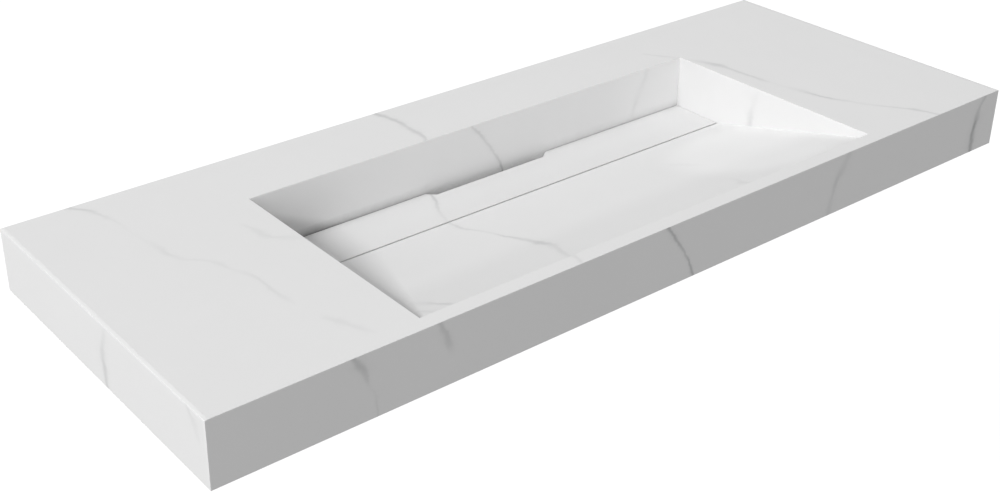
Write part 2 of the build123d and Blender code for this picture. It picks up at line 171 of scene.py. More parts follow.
FRONT_VEINS = [
    [(-445, 50, 6.0, 0.38), (-440, 39, 6.0, 0.42), (-433, 27, 6.0, 0.43), (-427, 14, 6.0, 0.28),
     (-426, 8, 4.5, 0.22), (-423, 1, 4.5, 0.08), (-417, -13, 4.0, 0.08), (-416, -26, 3.0, 0.15),
     (-415, -42, 3.0, 0.15)],
    [(-343, 50, 5.0, 0.28), (-338, 39, 5.0, 0.30), (-332, 26, 5.0, 0.31), (-327, 11, 6.0, 0.27),
     (-323, 1, 6.0, 0.08), (-321, -10, 6.0, 0.0)],
    [(-31, 50, 4.0, 0.55), (-22, 38, 4.0, 0.60), (-12, 24, 3.8, 0.62), (0, 9, 3.4, 0.52),
     (8, -3, 3.6, 0.42), (15, -16, 3.2, 0.55), (21, -28, 3.2, 0.62), (27, -42, 3.2, 0.62)],
    [(297, 50, 8.0, 0.18), (290, 38, 8.0, 0.17), (281, 22, 10.0, 0.15), (271, 7, 7.6, 0.26),
     (267, -5, 7.6, 0.21), (264, -17, 7.3, 0.17), (263, -42, 6.5, 0.19)],
    [(574, 50, 6.0, 0.30), (570, 38, 6.0, 0.30), (561, 24, 6.0, 0.31), (557, 9, 9.0, 0.50),
     (555, -1, 7.5, 0.82), (553, -10, 8.0, 0.74), (554, -25, 7.5, 0.69), (556, -42, 7.0, 0.70)],
]
LEFT_VEINS = [
    [(-254, 42, 8.0, 0.04), (-252, 34, 8.0, 0.07), (-247, 21, 7.5, 0.15), (-242, 7, 8.0, 0.23),
     (-240, -2, 8.4, 0.27), (-241, -12, 8.5, 0.34), (-242, -26, 6.5, 0.34), (-245, -42, 5.0, 0.36)],
    [(-416, 42, 5.0, 0.05), (-422, 33, 5.5, 0.15), (-428, 26, 8.5, 0.13), (-431, 18, 8.5, 0.09),
     (-435, 12, 5.5, 0.08), (-437, 3, 5.0, 0.0)],
]
RIGHT_VEINS = [
    [(-56, 50, 6.0, 0.30), (-66, 24, 5.0, 0.34), (-76, 0, 6.0, 0.22), (-92, -30, 4.0, 0.32),
     (-98, -42, 4.0, 0.32)],
    [(-320, 50, 4.0, 0.18), (-311, 20, 5.0, 0.20), (-312, -6, 7.0, 0.10), (-300, -42, 4.0, 0.16)],
]
BACK_WALL_VEINS = [
    [(-31, 48, 3.6, 0.20), (-24, 38, 3.6, 0.24), (-12, 25, 3.6, 0.32), (-2, 11, 4.2, 0.25),
     (5, 2, 4.0, 0.25), (11, -7, 3.8, 0.23), (17, -17, 4.0, 0.29), (22, -27, 3.5, 0.38),
     (25, -36, 3.2, 0.60), (29, -46, 3.2, 0.60)],
    [(287, 42, 7.0, 0.03), (282, 26, 6.6, 0.11), (275, 12, 9.0, 0.06), (270, 0, 9.0, 0.06),
     (264, -12, 5.0, 0.12), (261, -24, 5.0, 0.05), (258, -36, 5.0, 0.0)],
]
RIGHT_WALL_VEINS = [
    [(-254, 42, 7.0, 0.0), (-251, 34, 7.0, 0.04), (-247, 24, 9.0, 0.08), (-244, 12, 7.5, 0.12),
     (-242, 4, 9.0, 0.20), (-242, -4, 8.0, 0.28), (-242, -14, 8.5, 0.32), (-242, -26, 8.5, 0.32)],
]
COVER_VEINS = [
    [(-88, -100, 4.0, 0.40), (-91, -106, 4.0, 0.42), (-98, -125, 4.0, 0.38), (-107, -142, 3.8, 0.26),
     (-111, -150, 3.8, 0.22), (-115, -158, 3.4, 0.15), (-119, -171, 3.6, 0.12), (-124, -186, 3.6, 0.10)],
]
RAMP_VEINS = [
    [(-124, -178, 4.0, 0.15), (-126, -202, 3.5, 0.22), (-129, -220, 4.0, 0.25), (-127, -242, 4.0, 0.16),
     (-126, -263, 4.0, 0.10), (-126, -285, 3.5, 0.20), (-125, -306, 3.6, 0.32), (-124, -324, 5.0, 0.26),
     (-122, -341, 6.0, 0.32), (-122, -355, 9.0, 0.38), (-121, -368, 7.5, 0.27), (-124, -380, 7.0, 0.18),
     (-129, -393, 5.4, 0.19), (-136, -408, 5.2, 0.17), (-141, -424, 3.5, 0.12), (-143, -432, 3.5, 0.10)],
    [(-320, -374, 8.0, 0.04), (-312, -388, 8.5, 0.14), (-306, -401, 4.5, 0.26), (-301, -412, 4.5, 0.31),
     (-297, -422, 4.0, 0.06), (-294, -428, 4.0, 0.0)],
    [(-331, -401, 6.0, 0.12), (-326, -410, 7.0, 0.14), (-321, -417, 8.0, 0.07), (-314, -424, 6.0, 0.0)],
    [(162, -258, 7.0, 0.0), (172, -284, 7.0, 0.05), (178, -303, 5.0, 0.04), (182, -320, 5.0, 0.0)],
    [(150, -380, 12.0, 0.0), (148, -399, 8.0, 0.08), (142, -410, 9.0, 0.13), (146, -422, 6.0, 0.10),
     (145, -436, 6.0, 0.03)],
]
REAR_VEINS = [
    [(-492, 50, 6.0, 0.34), (-474, 18, 5.0, 0.36), (-462, -10, 7.0, 0.22), (-444, -42, 5.0, 0.34)],
    [(-186, 50, 4.0, 0.18), (-170, 16, 5.0, 0.24), (-172, -8, 6.0, 0.14), (-157, -42, 4.0, 0.22)],
    [(238, 50, 5.0, 0.30), (216, 10, 6.0, 0.34), (208, -14, 5.0, 0.22), (194, -42, 5.0, 0.30)],
]

# Building blocks of the materials
NOISE_MIDDLE = (0.3, 0.7)
MIX_AMOUNT = 0
MIX_FIRST = 6
MIX_SECOND = 7
MIX_RESULT = 2
FLOAT = "NodeSocketFloat"
VECTOR = "NodeSocketVector"
COLOUR = "NodeSocketColor"


def link(tree, source, target):
    tree.links.new(source, target)


def feed(tree, node, values):
    """Sets a node's inputs to plain values or links sockets to them, and gives its outputs."""
    for name, value in values.items():
        if isinstance(value, bpy.types.NodeSocket):
            link(tree, value, node.inputs[name])
        else:
            node.inputs[name].default_value = value
    return node.outputs


def new_outputs(tree, kind, values):
    """The outputs of a new node whose inputs are set or linked."""
    return feed(tree, tree.nodes.new(kind), values)


def reckon(tree, operation, *values):
    """One step of arithmetic on sockets or plain numbers."""
    node = tree.nodes.new("ShaderNodeMath")
    node.operation = operation
    return feed(tree, node, dict(enumerate(values)))[0]


def vector_step(tree, operation, values):
    """One step of arithmetic on vectors."""
    node = tree.nodes.new("ShaderNodeVectorMath")
    node.operation = operation
    return feed(tree, node, values)


def product(tree, first, *others):
    for other in others:
        first = reckon(tree, "MULTIPLY", first, other)
    return first


def ramp(tree, value, low, high, start, end, smooth=True):
    """Carries a value from one range to another, held at both ends."""
    node = tree.nodes.new("ShaderNodeMapRange")
    node.interpolation_type = "SMOOTHSTEP" if smooth else "LINEAR"
    return feed(tree, node, dict(enumerate((value, low, high, start, end))))["Result"]


def spread(tree, value, least, most, smooth=True):
    """Carries the middle part of a noise from one level to another."""
    return ramp(tree, value, *NOISE_MIDDLE, least, most, smooth)


def wavering(tree, value, reach):
    """A noise that swings to both sides of nothing, over the reach in all."""
    return reckon(tree, "MULTIPLY_ADD", value, reach, -reach / 2.0)


def noise(tree, place, scale, detail=2.0, roughness=0.5, output="Fac"):
    values = {"Vector": place, "Scale": scale, "Detail": detail, "Roughness": roughness}
    return new_outputs(tree, "ShaderNodeTexNoise", values)[output]


def stretched(tree, place, scale, shift=(0.0, 0.0, 0.0)):
    """The place stretched by three factors and then moved, for grain that runs one way."""
    values = {"Vector": place, "Location": shift, "Scale": scale}
    return new_outputs(tree, "ShaderNodeMapping", values)["Vector"]


def blend_colour(tree, amount, first, second):
    node = tree.nodes.new("ShaderNodeMix")
    node.data_type = "RGBA"
    values = {MIX_AMOUNT: amount, MIX_FIRST: first, MIX_SECOND: second}
    return feed(tree, node, values)[MIX_RESULT]


def separated(tree, place):
    """The three parts of a place."""
    return new_outputs(tree, "ShaderNodeSeparateXYZ", {0: place})


def new_group(name, inputs, outputs):
    """An empty shader group with named sockets, and its way in and out."""
    group = bpy.data.node_groups.new(name, "ShaderNodeTree")
    for label, kind, value in inputs:
        socket = group.interface.new_socket(label, in_out="INPUT", socket_type=kind)
        if value is not None:
            socket.default_value = value
    for label, kind in outputs:
        group.interface.new_socket(label, in_out="OUTPUT", socket_type=kind)
    way_in = group.nodes.new("NodeGroupInput")
    way_out = group.nodes.new("NodeGroupOutput")
    return group, way_in.outputs, way_out.inputs


def use_group(tree, group, values):
    node = tree.nodes.new("ShaderNodeGroup")
    node.node_tree = group
    return feed(tree, node, values)


# Shared effects
VEIN_CORE = 0.82
VEIN_HALO = 0.18
HALO_WIDTHS = 2.2
SWIRL_REACH = (0.12, 0.12, 0.12)
THREAD_WIDTH = 0.014
WISP_PATCHES = (0.46, 0.66)
SAWN_GRAIN = (60.0, 900.0, 900.0)
SAWN_BLEND = 0.55
SAWN_ROUGHER = 0.26
SAWN_DEEPER = 3.0
FINE_HEIGHT = 0.6
GRAIN_HEIGHT = 0.25


def make_vein_group():
    """Darkness of one vein from the distance to its middle and its width, in millimetres."""
    group, given, result = new_group(
        "vein_band",
        [
            ("Place", VECTOR, None), ("Distance", FLOAT, 0.0), ("Width", FLOAT, 4.0),
            ("Strength", FLOAT, 0.2),
        ],
        [("Mask", FLOAT)],
    )
    place = given["Place"]
    slow = wavering(group, noise(group, place, scale=42.0, detail=3.0), reach=7.0)
    quick = wavering(group, noise(group, place, scale=170.0), reach=3.0)
    shifted = reckon(group, "ADD", given["Distance"], reckon(group, "ADD", slow, quick))
    away = reckon(group, "ABSOLUTE", shifted)
    swell = spread(group, noise(group, place, scale=55.0), least=0.75, most=1.25)
    width = reckon(group, "MULTIPLY", given["Width"], swell)
    core = ramp(group, away, 0.0, width, VEIN_CORE, 0.0)
    halo = ramp(group, away, 0.0, product(group, width, HALO_WIDTHS), VEIN_HALO, 0.0)
    mask = product(group, reckon(group, "ADD", core, halo), given["Strength"])
    link(group, mask, result["Mask"])
    return group


def make_stone_group():
    """Pale slab stone: soft clouding, fine grain, stray wisps, veins and a sawn back."""
    group, given, result = new_group(
        "slab_stone",
        [
            ("Place", VECTOR, None), ("Vein", FLOAT, 0.0), ("Wisps", FLOAT, 0.0),
            ("Sawn", FLOAT, 0.0), ("Tone", FLOAT, 1.0),
        ],
        [("Color", COLOUR), ("Roughness", FLOAT), ("Height", FLOAT)],
    )
    place = given["Place"]
    clouds = wavering(group, noise(group, place, scale=3.4), reach=0.022)
    patches = wavering(group, noise(group, place, scale=19.0, detail=3.0), reach=0.018)
    grain = noise(group, place, scale=900.0, roughness=0.6)
    speckle = wavering(group, grain, reach=0.03)
    mottle = reckon(group, "ADD", clouds, patches)
    tone = reckon(group, "ADD", mottle, reckon(group, "ADD", speckle, given["Tone"]))
    ground = vector_step(group, "SCALE", {0: STONE[:3], "Scale": tone})[0]

    swirl = noise(group, place, scale=5.0, detail=3.0, output="Color")
    warped = vector_step(group, "MULTIPLY_ADD", {0: swirl, 1: SWIRL_REACH, 2: place})[0]
    middle = reckon(group, "SUBTRACT", noise(group, warped, scale=2.6, detail=1.0), 0.5)
    thread = ramp(group, reckon(group, "ABSOLUTE", middle), 0.0, THREAD_WIDTH, 1.0, 0.0)
    patchy = ramp(group, noise(group, place, scale=4.6, detail=1.0), *WISP_PATCHES, 0.0, 1.0)
    wisps = product(group, thread, patchy, given["Wisps"])
    dark = reckon(group, "MINIMUM", reckon(group, "MAXIMUM", given["Vein"], wisps), 1.0)
    polished = blend_colour(group, dark, ground, VEIN_GREY)
    dull = product(group, given["Sawn"], SAWN_BLEND)
    link(group, blend_colour(group, dull, polished, SAWN_STONE), result["Color"])

    haze = noise(group, place, scale=60.0, detail=3.0)
    haze = spread(group, haze, least=0.68, most=0.74, smooth=False)
    worn = reckon(group, "MULTIPLY_ADD", given["Sawn"], SAWN_ROUGHER, haze)
    link(group, worn, result["Roughness"])
    lines = noise(group, stretched(group, place, SAWN_GRAIN), scale=1.0)
    rough = product(group, lines, given["Sawn"], SAWN_DEEPER)
    fine = noise(group, place, scale=260.0)
    fine = reckon(group, "MULTIPLY_ADD", fine, FINE_HEIGHT, product(group, grain, GRAIN_HEIGHT))
    link(group, reckon(group, "ADD", fine, rough), result["Height"])
    return group


def make_brushing_group():
    """Fine drawn lines of a brushed metal, from a place already stretched along them."""
    group, given, result = new_group(
        "brushing",
        [("Lines", VECTOR, None), ("Place", VECTOR, None), ("Gloss", FLOAT, 0.3)],
        [("Roughness", FLOAT), ("Height", FLOAT)],
    )
    scratches = noise(group, given["Lines"], scale=1.0, detail=3.0, roughness=0.6)
    uneven = wavering(group, scratches, reach=0.16)
    smudges = wavering(group, noise(group, given["Place"], scale=90.0), reach=0.10)
    gloss = reckon(group, "ADD", given["Gloss"], reckon(group, "ADD", uneven, smudges))
    link(group, gloss, result["Roughness"])
    link(group, scratches, result["Height"])
    return group


VEIN_BAND = make_vein_group()
SLAB_STONE = make_stone_group()
BRUSHING = make_brushing_group()

# Materials
# Painted shade on the back wall down to its joint with the drain cover: deepest at the left, eased off
# to the right, reaching higher but fainter behind the notch
FOOT_SHADE = 0.36
FOOT_REACH = 0.0120
FOOT_WAVER = 0.005
FOOT_EASES_OFF = (-0.240, 0.100)
FOOT_RIGHT_SHARE = 0.33
NOTCH_ENDS = (0.080, 0.106)
NOTCH_REACH = 0.018
NOTCH_SHARE = 0.12
COVER_TOP = -0.0335
# Where the painted light patch on the ramp fades out, in its reaches
PATCH_FADE = (0.75, 1.25)
SAWN_EDGE = 0.00004
WORN_METAL = 0.88
METAL_BUMP = (0.15, 0.00003)
RING_SCALES = (5000.0, 1.2, 900.0)
DRAWN_GRAIN = (40.0, 4000.0, 4000.0)
GLOSS_REACH = 0.06
FINE_SKIN = 0.0002
PLY_PAIR = 0.0014
PLY_LINE = (0.00062, 0.00078)
PLY_GRAIN = (9.0, 160.0, 160.0)
PLY_END_GRAIN = (700.0, 160.0, 700.0)


def new_material(name):
    """A material with its shader and the socket of its object's own coordinates."""
    material = bpy.data.materials.new(name)
    material.use_nodes = True
    tree = material.node_tree
    shader = tree.nodes["Principled BSDF"]
    place = tree.nodes.new("ShaderNodeTexCoord").outputs["Object"]
    return material, tree, shader, place


def add_bump(tree, shader, height, strength, distance):
    values = {"Height": height, "Strength": strength, "Distance": distance}
    link(tree, new_outputs(tree, "ShaderNodeBump", values)["Normal"], shader.inputs["Normal"])


def finish_stone(tree, shader, values, gloss, strength, distance):
    """Lays the slab stone on a shader."""
    stone = use_group(tree, SLAB_STONE, values)
    feed(tree, shader, {"Base Color": stone["Color"], "Roughness": stone["Roughness"]})
    shader.inputs["Specular IOR Level"].default_value = gloss
    add_bump(tree, shader, stone["Height"], strength, distance)


def add_vein(tree, plane, place, points):
    """One vein, as three curves along the line between its ends: swing, width and strength."""
    traced = [Vector(point[:2]) for point in points]
    start = traced[0]
    run = traced[-1] - start
    along = run.normalized()
    across = Vector((-along.y, along.x))
    shares = [(spot - start).dot(along) / run.length for spot in traced]
    swings = [(spot - start).dot(across) for spot in traced]
    reach = max(abs(swing) for swing in swings) + 1.0
    mapping = tree.nodes.new("ShaderNodeMapping")
    mapping.vector_type = "TEXTURE"
    values = {
        "Vector": plane,
        "Location": (start.x * MM, start.y * MM, 0.0),
        "Rotation": (0.0, 0.0, math.atan2(along.y, along.x)),
        "Scale": (run.length * MM, MM, 1.0),
    }
    parts = separated(tree, feed(tree, mapping, values)[0])
    share = parts["X"]
    triple = new_outputs(tree, "ShaderNodeCombineColor", {0: share, 1: share, 2: share})
    course = tree.nodes.new("ShaderNodeRGBCurve")
    curved = feed(tree, course, {"Color": triple[0]})[0]
    read = new_outputs(tree, "ShaderNodeSeparateColor", {0: curved})
    levels = [
        [swing / (2.0 * reach) + 0.5 for swing in swings],
        [point[2] / WIDEST_VEIN for point in points],
        [point[3] for point in points],
    ]
    for curve, heights in zip(course.mapping.curves, levels):
        curve.points[0].location = (shares[0], heights[0])
        curve.points[-1].location = (shares[-1], heights[-1])
        for spot in zip(shares[1:-1], heights[1:-1]):
            curve.points.new(*spot)
    course.mapping.update()
    middle = reckon(tree, "MULTIPLY_ADD", read["Red"], 2.0 * reach, -reach)
    inside = reckon(tree, "COMPARE", share, 0.5, 0.5)
    strength = reckon(tree, "MAXIMUM", read["Blue"], 0.0)
    values = {
        "Place": place,
        "Distance": reckon(tree, "SUBTRACT", parts["Y"], middle),
        "Width": product(tree, read["Green"], WIDEST_VEIN),
        "Strength": product(tree, strength, inside),
    }
    return use_group(tree, VEIN_BAND, values)["Mask"]


def drifted(tree, place, tone, drifts):
    """The tone with its soft drifts of painted light and shade added along their directions."""
    for direction, begin, finish, first, last in drifts:
        along = vector_step(tree, "DOT_PRODUCT", {0: place, 1: direction})["Value"]
        tone = reckon(tree, "ADD", tone, ramp(tree, along, begin, finish, first, last))
    return tone


def painted_light_patch(tree, parts):
    """How much painted light makes the ramp paler in the soft patch before its right end."""
    offsets = []
    for axis, middle, reach in zip("XY", PATCH_PLACE, PATCH_REACH):
        offset = reckon(tree, "SUBTRACT", parts[axis], middle)
        offsets.append(reckon(tree, "DIVIDE", offset, reach))
    beside = reckon(tree, "MINIMUM", offsets[0], 0.0)
    before = offsets[1]
    square = reckon(tree, "MULTIPLY_ADD", beside, beside, product(tree, before, before))
    return ramp(tree, reckon(tree, "SQRT", square), *PATCH_FADE, PATCH_PALER, 0.0)


def foot_shade(tree, place, parts, deepest):
    """How much a painted shade darkens a wall down to its joint with the drain cover: least on the
    right, and higher up but fainter behind the notch."""
    waver = wavering(tree, noise(tree, place, scale=90.0), reach=FOOT_WAVER)
    height = reckon(tree, "SUBTRACT", reckon(tree, "ADD", parts["Z"], waver), COVER_TOP)
    aside = reckon(tree, "ABSOLUTE", parts["X"])
    reach = ramp(tree, aside, *NOTCH_ENDS, NOTCH_REACH, FOOT_REACH)
    painted_shade_fall = ramp(tree, height, 0.0, reach, 1.0, 0.0, smooth=False)
    fainter = FOOT_RIGHT_SHARE * deepest
    rightward = ramp(tree, parts["X"], *FOOT_EASES_OFF, deepest, fainter, smooth=False)
    beside_notch = ramp(tree, aside, *NOTCH_ENDS, NOTCH_SHARE, 1.0)
    return product(tree, painted_shade_fall, rightward, beside_notch)


def slab_material(
    name, axes, veins, wisps=0.0, back=None, tone=1.0, drifts=(), foot=0.0, patch=False
):
    """Slab stone for one panel: its two axes, its veins, the side and depth of its sawn back, how
    pale it is beside the others and how that drifts, as painted light and shade, how deep the
    painted shade is down to the joint with the drain cover, and whether it has the painted
    light patch."""
    material, tree, shader, place = new_material(name)
    parts = separated(tree, place)
    plane = new_outputs(
        tree, "ShaderNodeCombineXYZ", {"X": parts[axes[0]], "Y": parts[axes[1]]}
    )[0]
    # Painted light and shade: the drifts, the ramp's light patch and the shade down to the cover's joint
    tone = drifted(tree, place, tone, drifts)
    if patch:
        tone = reckon(tree, "ADD", tone, painted_light_patch(tree, parts))
    if foot:
        tone = reckon(tree, "SUBTRACT", tone, foot_shade(tree, place, parts, foot))
    values = {"Place": place, "Wisps": wisps, "Tone": tone}
    mask = None
    for points in veins:
        band = add_vein(tree, plane, place, points)
        mask = band if mask is None else reckon(tree, "MAXIMUM", mask, band)
    if mask is not None:
        values["Vein"] = mask
    if back is not None:
        axis, limit, sign = back
        beyond = product(tree, reckon(tree, "SUBTRACT", parts[axis], limit), sign)
        values["Sawn"] = ramp(tree, beyond, -SAWN_EDGE, 0.0, 0.0, 1.0)
    finish_stone(tree, shader, values, gloss=0.35, strength=0.12, distance=0.00012)
    return material


def sawn_material():
    """Offcuts of the slab that are glued out of sight, sawn on every side."""
    material, tree, shader, place = new_material("slab_offcut")
    values = {"Place": place, "Wisps": 0.7, "Sawn": 1.0}
    finish_stone(tree, shader, values, gloss=0.3, strength=0.35, distance=0.00025)
    return material


def ring_lines(tree, place, middle):
    """A place wound round an upright axis, for lines that run round it."""
    centred = stretched(tree, place, (1.0, 1.0, 1.0), (-middle[0], -middle[1], 0.0))
    parts = separated(tree, centred)
    square = product(tree, parts["X"], parts["X"])
    square = reckon(tree, "MULTIPLY_ADD", parts["Y"], parts["Y"], square)
    radius = reckon(tree, "SQRT", square)
    turn = reckon(tree, "ARCTAN2", parts["Y"], parts["X"])
    rings = {
        axis: product(tree, value, scale)
        for axis, value, scale in zip("XYZ", (radius, turn, parts["Z"]), RING_SCALES)
    }
    return new_outputs(tree, "ShaderNodeCombineXYZ", rings)[0]


def steel_material(name, colour, gloss, around=None):
    """Brushed steel, with its lines straight or running round an upright axis."""
    material, tree, shader, place = new_material(name)
    if around is None:
        lines = stretched(tree, place, DRAWN_GRAIN)
    else:
        lines = ring_lines(tree, place, around)
    drawn = use_group(tree, BRUSHING, {"Lines": lines, "Place": place, "Gloss": gloss})
    dull = tuple(WORN_METAL * part for part in colour[:3]) + (1.0,)
    worn = blend_colour(tree, noise(tree, place, scale=70.0, detail=3.0), colour, dull)
    feed(tree, shader, {"Base Color": worn, "Roughness": drawn["Roughness"]})
    shader.inputs["Metallic"].default_value = 1.0
    add_bump(tree, shader, drawn["Height"], *METAL_BUMP)
    return material


def plain_material(name, colour, shade, roughness, mottle, bump, bump_scale):
    """A moulded or poured finish: two near tones, a gloss that varies and a fine skin."""
    material, tree, shader, place = new_material(name)
    tint = blend_colour(tree, noise(tree, place, mottle, detail=3.0), colour, shade)
    least = roughness - GLOSS_REACH
    most = roughness + GLOSS_REACH
    gloss = spread(tree, noise(tree, place, mottle * 2.0), least, most, smooth=False)
    feed(tree, shader, {"Base Color": tint, "Roughness": gloss})
    add_bump(tree, shader, noise(tree, place, bump_scale), bump, FINE_SKIN)
    return material


def plywood_material():
    """Birch plywood: layers through its thickness, with long grain on its faces."""
    material, tree, shader, place = new_material("birch_plywood")
    layer = reckon(tree, "PINGPONG", separated(tree, place)["Y"], PLY_PAIR)
    across = ramp(tree, layer, *PLY_LINE, 0.0, 1.0)
    long_place = stretched(tree, place, PLY_GRAIN)
    grain = noise(tree, long_place, scale=1.0, detail=5.0, roughness=0.6)
    end_grain = noise(tree, stretched(tree, place, PLY_END_GRAIN), scale=1.0)
    long_wood = blend_colour(tree, spread(tree, grain, 0.0, 1.0), BIRCH, BIRCH_DARK)
    cross_wood = blend_colour(tree, end_grain, BIRCH_END, BIRCH_END_DARK)
    wood = blend_colour(tree, across, long_wood, cross_wood)
    rough = spread(tree, grain, least=0.62, most=0.76, smooth=False)
    feed(tree, shader, {"Base Color": wood, "Roughness": rough})
    shader.inputs["Specular IOR Level"].default_value = 0.25
    raised = reckon(tree, "ADD", grain, across)
    add_bump(tree, shader, raised, strength=0.3, distance=FINE_SKIN)
    return material


# Working on meshes
SHARP = math.radians(36.0)
SQUARE = 1.0
FLAT_NORMAL = 0.99999
FACING = 0.9
CUT_MARGIN = 0.0000001
MERGE_REACH = 0.000002
FLAT_TURN = math.radians(0.4)
EASE_STEPS = 2
ROUND_STEPS = 4


def axis_aligned(normal, axes):
    return any(abs(normal[axis]) > FLAT_NORMAL for axis in axes)


def add_piece(name, bm, material, body="root", hides=(), flat=(0, 1, 2), sharp=SHARP):
    """Closes a bmesh into a piece: flat sides stay flat, the rounds between them are smooth."""
    bmesh.ops.recalc_face_normals(bm, faces=bm.faces)
    bm.normal_update()
    for face in bm.faces:
        face.smooth = not axis_aligned(face.normal, flat)
        face.material_index = 0
    for edge in bm.edges:
        if edge.is_manifold:
            edge.smooth = edge.calc_face_angle() < sharp
    mesh = bpy.data.meshes.new(name)
    bm.to_mesh(mesh)
    bm.free()
    mesh.materials.append(material)
    piece = bpy.data.objects.new(name, mesh)
    bpy.context.scene.collection.objects.link(piece)
    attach(piece, body)
    if hides:
        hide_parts(*hides)
    return piece


def ease(bm, edges, width, segments):
    return bmesh.ops.bevel(
        bm, geom=edges, offset=width, offset_type="OFFSET", affect="EDGES", segments=segments,
        profile=0.5, clamp_overlap=True, material=-1,
    )


def edges_where(bm, test):
    return [edge for edge in bm.edges if all(test(vert.co) for vert in edge.verts)]


def turned_edges(edges, turn):
    """Those whose two faces meet at more than an angle."""
    return [edge for edge in edges if edge.is_manifold and edge.calc_face_angle() > turn]


def near(value, target, margin=0.00002):
    return abs(value - target) < margin


def height_of(edge):
    return abs(edge.verts[0].co.z - edge.verts[1].co.z)


def new_verts(raised):
    return [item for item in raised if isinstance(item, bmesh.types.BMVert)]


def node_copy(node_name):
    """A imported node's mesh with its doubles merged and its flat sides joined."""
    bm = bmesh.new()
    bm.from_mesh(nodes[node_name].data)
    bmesh.ops.remove_doubles(bm, verts=bm.verts, dist=MERGE_REACH)
    bmesh.ops.dissolve_limit(
        bm, angle_limit=FLAT_TURN, use_dissolve_boundaries=False, verts=bm.verts,
        edges=bm.edges, delimit=set(),
    )
    return bm


def eased_copy(node_name, width):
    """The same, with every sharp edge eased by hand."""
    bm = node_copy(node_name)
    ease(bm, turned_edges(bm.edges, SHARP), width, EASE_STEPS)
    return bm


def split_at(bm, place, normal, clear_outer=False):
    """Cuts a mesh along a plane, and gives what lies on the cut."""
    everything = bm.verts[:] + bm.edges[:] + bm.faces[:]
    return bmesh.ops.bisect_plane(
        bm, geom=everything, dist=CUT_MARGIN, plane_co=place, plane_no=normal,
        clear_outer=clear_outer,
    )["geom_cut"]


# Slab shell
SHEET = 0.012
ARRIS = 0.0004
SEAM = 0.00012
SEAM_REACH = 0.00001
END_BORDER = 0.0030
END_FALL = 0.0003
DECK_BORDER = 0.0042
DECK_FALL = 0.0005
FOOT_EASE = 0.0006
EDGE_REACH = 0.003
TOP_REACH = 0.002
APRON_RUN = 0.05
HALF_OPENING = 0.3485
OPENING_FRONT = -0.4305
OPENING_BACK = -0.1065
OPENING_EASE = 0.0005
OPENING_REACH = 0.001
low_corner, high_corner = cad_box
LEFT = low_corner[0]
RIGHT = high_corner[0]
FRONT = low_corner[1]
TOP = high_corner[2]
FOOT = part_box("front_apron")[0][2]
UNDER = TOP - SHEET


def at_back(edge):
    return all(near(vert.co.y, 0.0) for vert in edge.verts)


def shell_form():
    """The bonded shell as one block: deck ends and end faces that fall off softly, and eased
    arrises and foot edges."""
    bm = bmesh.new()
    bmesh.ops.create_cube(bm, size=1.0)
    bmesh.ops.scale(bm, vec=(RIGHT - LEFT, -FRONT, TOP - FOOT), verts=bm.verts)
    bmesh.ops.translate(bm, vec=(0.0, FRONT / 2.0, (TOP + FOOT) / 2.0), verts=bm.verts)
    for sign in (-1, 1):
        split_at(bm, (sign * (RIGHT - DECK_BORDER), 0.0, 0.0), (1.0, 0.0, 0.0))
        end = [face for face in bm.faces if face.normal.x * sign > FACING]
        bmesh.ops.inset_region(
            bm, faces=end, thickness=END_BORDER, depth=0.0, use_even_offset=True
        )
        for vert in bm.verts:
            if near(vert.co.x, sign * RIGHT) and near(vert.co.z, TOP):
                vert.co.x -= sign * END_FALL
                vert.co.z -= DECK_FALL
    inner = RIGHT - EDGE_REACH
    uprights = edges_where(bm, lambda co: near(co.y, FRONT) and abs(co.x) > inner)
    uprights = [edge for edge in uprights if height_of(edge) > APRON_RUN]
    tops = edges_where(
        bm, lambda co: co.z > TOP - TOP_REACH and (near(co.y, FRONT) or abs(co.x) > inner)
    )
    tops = [edge for edge in tops if not at_back(edge)]
    ease(bm, uprights + tops, ARRIS, ROUND_STEPS)
    feet = turned_edges(edges_where(bm, lambda co: near(co.z, FOOT)), SQUARE)
    ease(bm, [edge for edge in feet if not at_back(edge)], FOOT_EASE, EASE_STEPS)
    for vert in bm.verts:
        vert.co.y = max(vert.co.y, FRONT)
    return bm


def cut(bm, place, normal):
    """Takes away what lies beyond a plane and closes the cut."""
    on_cut = split_at(bm, place, normal, clear_outer=True)
    rim = [item for item in on_cut if isinstance(item, bmesh.types.BMEdge)]
    bmesh.ops.holes_fill(bm, edges=rim, sides=0)


def panel(form, cuts, seams):
    """One mitred sheet cut from the shell, with the fine line of its glued joints."""
    bm = form.copy()
    for place, normal in cuts:
        cut(bm, place, normal)
    for place, normal in seams:
        plane = Vector(normal).normalized()
        on_seam = edges_where(
            bm,
            lambda co: abs((co - Vector(place)).dot(plane)) < SEAM_REACH
            and (
                co.z > TOP - EDGE_REACH
                or near(co.y, FRONT, EDGE_REACH) and abs(co.x) > RIGHT - EDGE_REACH
            ),
        )
        ease(bm, on_seam, SEAM, 1)
    return bm


def in_opening(place, margin=0.0):
    """Whether a place lies over the bowl, or within a margin of it."""
    return (
        abs(place.x) < HALF_OPENING + margin
        and OPENING_FRONT - margin < place.y < OPENING_BACK + margin
    )


